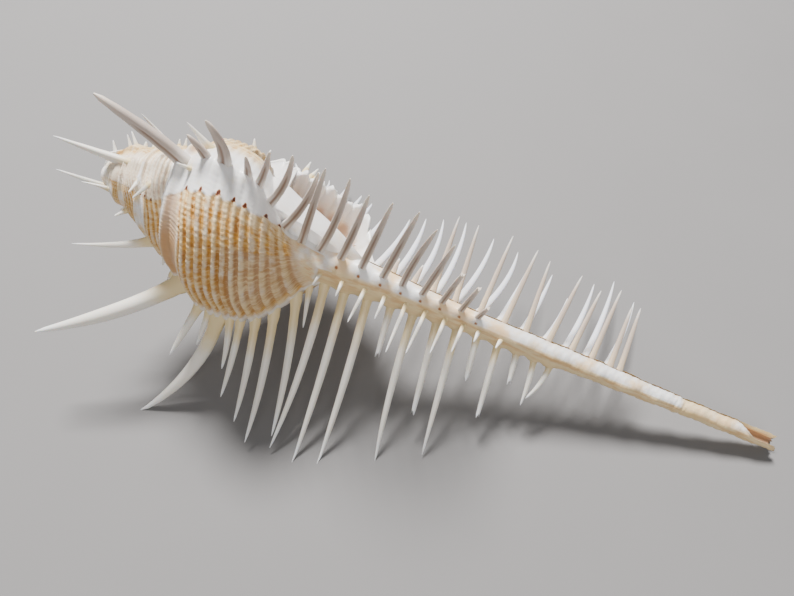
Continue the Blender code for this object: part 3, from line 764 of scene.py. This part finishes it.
def spire_comb(master):
    """The spines of the crest, the shoulder and the older whorls, each with a place of its own."""
    pieces = []
    for number, (angle, place, radius, tip_place, tip_radius, width, bow) in enumerate(SPIRE_SPINES):
        depth = max(surface_radius(place, angle) - radius, 0.5)
        root, tip = at(place, radius, angle), at(tip_place, tip_radius, angle)
        pieces.append(grow_spine(master, root, tip, 0.85 * width, bow, depth, 0.3, 0.6, False,
                                 number, 1.6))
    return join_pieces(pieces, "spire_spines")


def little_points(master):
    """The short points of the crest, the shoulder and the lip's upper end."""
    pieces = []
    for number, (angle, place, tip_angle, tip_place, tip_out, width) in enumerate(LITTLE_POINTS):
        skin = surface_radius(place, angle)
        root = at(place, skin - LITTLE_POINT_DEPTH, angle)
        tip = at(tip_place, skin + tip_out, tip_angle)
        pieces.append(grow_spine(master, root, tip, 0.8 * width, 0.0, LITTLE_POINT_DEPTH, 0.15, 0.0, False,
                                 number, 1.5, 0.3))
    return join_pieces(pieces, "little_points")


# Materials
def new_material(name):
    material = bpy.data.materials.new(name)
    material.use_nodes = True
    material.node_tree.nodes.clear()
    return material, Nodes(material.node_tree)


class Nodes:
    """Short names for the nodes that the shell's materials are made of."""

    def __init__(self, tree):
        self.tree = tree

    def add(self, kind, **settings):
        node = self.tree.nodes.new(kind)
        for key, value in settings.items():
            setattr(node, key, value)
        return node

    def wire(self, value, socket):
        """Links a value to a socket, or writes it there if it is a number or a colour."""
        if isinstance(value, (int, float)):
            socket.default_value = value
        elif isinstance(value, tuple):
            socket.default_value = (*value, 1.0)
        else:
            self.tree.links.new(value, socket)

    def fill(self, node, values):
        for name, value in values.items():
            self.wire(value, node.inputs[name])

    def attribute(self, name):
        return self.add("ShaderNodeAttribute", attribute_name=name).outputs["Fac"]

    def coordinates(self):
        return self.add("ShaderNodeTexCoord").outputs["Object"]

    def noise(self, vector, scale, detail, rough):
        node = self.add("ShaderNodeTexNoise")
        self.fill(node, {"Vector": vector, "Scale": scale, "Detail": detail, "Roughness": rough})
        return node.outputs["Fac"]

    def stretched(self, around, along, scales, size=1.0, detail=3.0):
        """Noise on the unrolled shell, with one scale round it and one along it."""
        round_it = self.maths("MULTIPLY", around, scales[0])
        along_it = self.maths("MULTIPLY", along, scales[1])
        return self.noise(self.vector(round_it, along_it), size, detail, 0.6)

    def ramp(self, value, start, end, low=0.0, high=1.0):
        node = self.add("ShaderNodeMapRange", interpolation_type="SMOOTHSTEP")
        self.fill(node, {"Value": value, "From Min": start, "From Max": end,
                         "To Min": low, "To Max": high})
        return node.outputs["Result"]

    def maths(self, kind, a, b):
        node = self.add("ShaderNodeMath", operation=kind)
        for socket, value in zip(node.inputs, (a, b)):
            self.wire(value, socket)
        return node.outputs["Value"]

    def mix(self, factor, a, b):
        node = self.add("ShaderNodeMix", data_type="RGBA")
        self.fill(node, {"Factor": factor, "A": a, "B": b})
        return node.outputs["Result"]

    def vector(self, x, y):
        node = self.add("ShaderNodeCombineXYZ")
        self.fill(node, {"X": x, "Y": y})
        return node.outputs["Vector"]

    def finish(self, colour, roughness, height, distance, coat=0.0, milk=0.0):
        """The shader itself: coat is its clear gloss, and milk how far light sinks into the shell."""
        shader = self.add("ShaderNodeBsdfPrincipled")
        self.fill(shader, {"Base Color": colour, "Roughness": roughness, "IOR": 1.5,
                           "Specular IOR Level": 0.4, "Coat Weight": coat, "Coat Roughness": 0.25,
                           "Subsurface Weight": milk, "Subsurface Scale": 0.8 * MM})
        shader.inputs["Subsurface Radius"].default_value = (1.0, 0.7, 0.45)
        relief = self.add("ShaderNodeBump")
        self.fill(relief, {"Height": height, "Distance": distance, "Strength": 1.0})
        self.wire(relief.outputs["Normal"], shader.inputs["Normal"])
        output = self.add("ShaderNodeOutputMaterial")
        self.wire(shader.outputs["BSDF"], output.inputs["Surface"])


WHITE = (0.90, 0.89, 0.88)
CREAM = (0.86, 0.68, 0.39)
OCHRE = (0.66, 0.36, 0.065)
DEEP_OCHRE = (0.44, 0.20, 0.035)
TAN = (0.47, 0.27, 0.13)
HOLLOW = (0.58, 0.42, 0.30)
PEACH = (0.82, 0.52, 0.26)
MOUTH = (0.58, 0.40, 0.30)
DOT = (0.09, 0.02, 0.008)


def whorl_finish():
    """Cream ribs on ochre ground, white glaze on the varices, fine growth lines across all of it."""
    material, n = new_material("ribbed_shell")
    here = n.coordinates()
    around, behind = n.attribute("around"), n.attribute("behind")
    patches = n.stretched(around, behind, (40.0, 0.35), 1.6, 5.0)
    blots = n.stretched(around, behind, (62.0, 0.75))
    lines = n.stretched(around, behind, (420.0, 0.8))
    bands = n.stretched(around, behind, (150.0, 0.25))
    grain = n.noise(here, 2600.0, 4.0, 0.6)
    cloud = n.noise(here, 260.0, 3.0, 0.5)
    # The ground between the ribs, which turns brown towards the neck, past the step in growth
    ochre = n.mix(n.ramp(patches, 0.40, 0.62), OCHRE, DEEP_OCHRE)
    brown = n.mix(n.ramp(patches, 0.40, 0.70), TAN, (0.56, 0.34, 0.18))
    late = n.maths("MULTIPLY", n.ramp(around, 0.130, 0.138), n.ramp(around, 0.33, 0.28))
    lower = n.maths("MULTIPLY", late, n.ramp(behind, 30.6, 31.6))
    ochre = n.mix(lower, ochre, brown)
    deepest = n.maths("MULTIPLY", n.ramp(behind, 29.4, 30.0), n.ramp(behind, 31.8, 31.2))
    ochre = n.mix(n.maths("MULTIPLY", late, n.maths("MULTIPLY", deepest, 0.75)), ochre, DEEP_OCHRE)
    pale = n.ramp(n.maths("ADD", blots, n.ramp(around, 0.06, 0.10, 0.16, 0.0)), 0.50, 0.68)
    ochre = n.mix(n.maths("MULTIPLY", pale, n.ramp(late, 0.0, 1.0, 0.70, 0.22)), ochre, CREAM)
    # The ribs, broken up by blots and by bands of growth
    broken_up = n.maths("MULTIPLY", n.maths("SUBTRACT", blots, 0.5), 2.4)
    crest = n.ramp(n.maths("ADD", n.attribute("rib"), broken_up), -0.45, 0.95)
    crest_colour = n.mix(n.ramp(cloud, 0.42, 0.68), CREAM, (0.88, 0.80, 0.67))
    ribbed = n.mix(n.maths("MULTIPLY", crest, 0.86), ochre, crest_colour)
    ribbed = n.mix(n.ramp(bands, 0.48, 0.68, 0.0, 0.65), ribbed, CREAM)
    ribbed = n.mix(n.ramp(bands, 0.50, 0.30, 0.0, 0.60), ribbed, (0.50, 0.26, 0.07))
    # Plain shell, the smooth ramp below the suture, and the glaze
    warm = n.mix(n.ramp(patches, 0.45, 0.65), CREAM, PEACH)
    plain = n.mix(n.ramp(cloud, 0.34, 0.60), WHITE, warm)
    colour = n.mix(n.attribute("ribbed"), plain, ribbed)
    hollow = n.mix(n.ramp(patches, 0.45, 0.75), HOLLOW, (0.70, 0.50, 0.30))
    colour = n.mix(n.attribute("ramp"), colour, hollow)
    # Past the front of the ramp it turns ochre-brown: partly the ribs' own ochre, partly painted shade.
    ramp_ochre_and_shade = n.maths("MULTIPLY", n.attribute("ramp"), n.ramp(around, 0.13, 0.19))
    colour = n.mix(n.maths("MULTIPLY", ramp_ochre_and_shade, 0.75), colour, (0.56, 0.30, 0.11))
    colour = n.mix(n.attribute("glaze"), colour, n.mix(n.ramp(cloud, 0.55, 0.85), WHITE, CREAM))
    # Growth lines, the inside of the mouth (its own peach-brown, painted darker as shade the deeper it
    # lies), and the dots
    bare = n.ramp(n.attribute("glaze"), 0.0, 1.0, 0.28, 0.06)
    shade = n.maths("MULTIPLY", n.ramp(lines, 0.60, 0.30), bare)
    colour = n.mix(shade, colour, (0.50, 0.30, 0.14))
    # Painted shade inside the mouth, over its own peach-brown.
    inside = n.mix(n.ramp(cloud, 0.35, 0.7), MOUTH, HOLLOW)
    colour = n.mix(n.ramp(n.attribute("mouth"), 0.3, 0.9), colour, inside)
    speckle = n.maths("MULTIPLY", n.maths("SUBTRACT", grain, 0.5), 0.5)
    stain = n.maths("ADD", n.attribute("dots"), speckle)
    colour = n.mix(n.ramp(stain, 0.18, 0.45), colour, (0.46, 0.20, 0.06))
    colour = n.mix(n.ramp(stain, 0.38, 0.62), colour, DOT)
    roughness = n.ramp(n.attribute("glaze"), 0.0, 1.0, 0.50, 0.28)
    growth_lines = n.maths("MULTIPLY", lines, n.ramp(n.attribute("glaze"), 0.0, 1.0, 0.8, 0.12))
    height = n.maths("ADD", growth_lines, n.maths("MULTIPLY", grain, 0.25))
    n.finish(colour, roughness, height, 0.08 * MM, 0.12, 0.10)
    return material


def canal_finish():
    """White glaze along the top, cream with tan streaks below it, dark dots, and a brown inside painted as
    shade.
    """
    material, n = new_material("canal_shell")
    here = n.coordinates()
    along, around = n.attribute("along"), n.attribute("around")
    streaks = n.stretched(around, along, (14.0, 22.0), 1.0, 5.0)
    cloud = n.noise(here, 170.0, 4.0, 0.55)
    grain = n.noise(here, 2400.0, 4.0, 0.6)
    colour = n.mix(n.ramp(streaks, 0.40, 0.66), CREAM, (0.70, 0.44, 0.20))
    colour = n.mix(n.maths("MULTIPLY", n.attribute("front"), 0.6), colour, (0.84, 0.64, 0.34))
    glazed = n.mix(n.ramp(cloud, 0.40, 0.64), WHITE, (0.86, 0.62, 0.36))
    colour = n.mix(n.attribute("band"), colour, glazed)
    end = n.maths("MULTIPLY", n.ramp(along, 0.840, 0.848), n.ramp(along, 0.93, 0.87))
    new_growth = n.mix(n.ramp(cloud, 0.35, 0.65), (0.82, 0.58, 0.27), CREAM)
    colour = n.mix(n.maths("MULTIPLY", end, 0.8), colour, new_growth)
    # Painted shade: the inner wall is painted dark brown.
    colour = n.mix(n.ramp(n.attribute("mouth"), 0.15, 0.8), colour, (0.40, 0.25, 0.15))
    colour = n.mix(n.ramp(n.attribute("dots"), 0.25, 0.75), colour, (0.34, 0.13, 0.04))
    height = n.maths("ADD", n.maths("MULTIPLY", streaks, 0.7), n.maths("MULTIPLY", grain, 0.3))
    n.finish(colour, n.ramp(cloud, 0.3, 0.7, 0.34, 0.5), height, 0.10 * MM, 0.12, 0.12)
    return material


def spine_finish(name, root, shaft, tip, turn_at=0.25):
    """The root takes the body's colour, and the shaft pales towards the tip; the groove of the slit is
    painted dark as shade.
    """
    material, n = new_material(name)
    here = n.coordinates()
    tipward = n.attribute("tipward")
    cloud = n.noise(here, 240.0, 3.0, 0.5)
    grain = n.noise(here, 3000.0, 3.0, 0.6)
    uneven = n.maths("ADD", tipward, n.maths("MULTIPLY", n.maths("SUBTRACT", cloud, 0.5), 0.25))
    colour = n.mix(n.ramp(uneven, turn_at - 0.14, turn_at + 0.14), root, shaft)
    colour = n.mix(n.ramp(uneven, 0.72, 0.98), colour, tip)
    # Painted shade: the groove along the slit is darkened.
    colour = n.mix(n.ramp(n.attribute("slit"), 0.45, 1.0), colour, (0.27, 0.17, 0.12))
    height = n.maths("ADD", n.maths("MULTIPLY", cloud, 0.4), n.maths("MULTIPLY", grain, 0.3))
    n.finish(colour, n.ramp(tipward, 0.0, 1.0, 0.42, 0.30), height, 0.06 * MM, 0.15, 0.18)
    return material


def dress(piece, material):
    piece.data.materials.clear()
    piece.data.materials.append(material)
    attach(piece, "root")
    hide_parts("shell")
    return piece


def make_floor():
    bpy.ops.object.select_all(action="DESELECT")
    bpy.ops.mesh.primitive_plane_add(size=4.0, location=(0.0, 0.0, 0.0))
    floor = bpy.context.object
    floor.name = "floor"
    material, n = new_material("pale_floor")
    here = n.coordinates()
    cloud = n.noise(here, 30.0, 3.0, 0.5)
    colour = n.mix(cloud, (0.21, 0.205, 0.205), (0.23, 0.225, 0.225))
    n.finish(colour, n.ramp(cloud, 0.0, 1.0, 0.75, 0.85), cloud, 0.10 * MM)
    floor.data.materials.append(material)


def add_light(name, place, target, size, power, colour):
    data = bpy.data.lights.new(name, "AREA")
    data.shape = "DISK"
    data.size = size
    data.energy = power
    data.color = colour
    light = bpy.data.objects.new(name, data)
    light.location = place
    light.rotation_euler = (Vector(target) - Vector(place)).to_track_quat("-Z", "Y").to_euler()
    bpy.context.collection.objects.link(light)


def make_light():
    middle = (0.0, 0.0, 0.02)
    add_light("window", (-0.22, 0.34, 0.64), middle, 0.20, 17.0, (1.0, 0.98, 0.96))
    add_light("room", (0.14, -0.60, 0.50), middle, 0.40, 2.0, (1.0, 0.97, 0.93))
    world = bpy.data.worlds.new("studio")
    world.use_nodes = True
    world.node_tree.nodes["Background"].inputs["Color"].default_value = (0.92, 0.95, 1.0, 1.0)
    world.node_tree.nodes["Background"].inputs["Strength"].default_value = 0.26
    bpy.context.scene.world = world


# The camera that looks down on the shell: millimetres of lens, metres, and degrees
LENS, SENSOR = 25.98, 36.0
CAMERA_PLACE = (0.00684, -0.06086, 0.1055)
CAMERA_TURN = (32.47, -1.24, 16.58)


def make_camera():
    data = bpy.data.cameras.new("camera")
    data.sensor_width = SENSOR
    data.lens = LENS
    data.clip_start = 0.005
    camera = bpy.data.objects.new("camera", data)
    camera.location = CAMERA_PLACE
    camera.rotation_euler = [math.radians(a) for a in CAMERA_TURN]
    bpy.context.collection.objects.link(camera)
    bpy.context.scene.camera = camera


dress(make_whorls(), whorl_finish())
dress(make_canal(), canal_finish())
master = model_spine()
# The top spines' dark grey-beige shaft is painted shade on the side turned away from the light; their own
# colour is a paler grey-beige.
top_spine_shade_grey = spine_finish("top_spine_painted_shade", (0.82, 0.76, 0.70), (0.56, 0.47, 0.41), (0.76, 0.67, 0.58), 0.14)
milk = spine_finish("front_spine_shell", (0.84, 0.68, 0.38), (0.88, 0.84, 0.76), (0.90, 0.90, 0.90), 0.22)
# The back spines' bluish white is painted sky light on their upturned faces; their own colour is white.
back_spine_sky_light = spine_finish("back_spine_painted_sky_light", (0.84, 0.83, 0.84), (0.80, 0.81, 0.87), (0.86, 0.86, 0.89), 0.2)
# The slit spines' darker beige is partly their own beige and partly painted shade on their faces turned
# away from the light.
slit_spine_beige_shade = spine_finish("slit_spine_beige_and_painted_shade", (0.72, 0.58, 0.42), (0.62, 0.51, 0.42), (0.78, 0.74, 0.70))
dress(comb(master, "top_spines", TOP, TOP_SPINES, TOP_BROKEN, 1.0, 0.15, 3.0, 0.34, 0.88), top_spine_shade_grey)
dress(comb(master, "front_spines", FRONT, FRONT_SPINES, FRONT_BROKEN, 0.3, 0.30, 3.4, 0.22, 0.80), milk)
dress(comb(master, "back_spines", BACK, BACK_SPINES, (), 0.3, 0.20, 3.0, 0.2, 0.75), back_spine_sky_light)
dress(short_comb(master, "slit_spines", SLIT_SPINES, SLIT_SPINE_ANGLE, 0.9, 0.6, 0.0), slit_spine_beige_shade)
dress(short_comb(master, "side_spines", SIDE_SPINES, SIDE_SPINE_ANGLE, 0.66, 0.2, 28.0), milk)
dress(spire_comb(master), milk)
dress(little_points(master), milk)
bpy.data.objects.remove(master, do_unlink=True)
make_floor()
make_light()
make_camera()
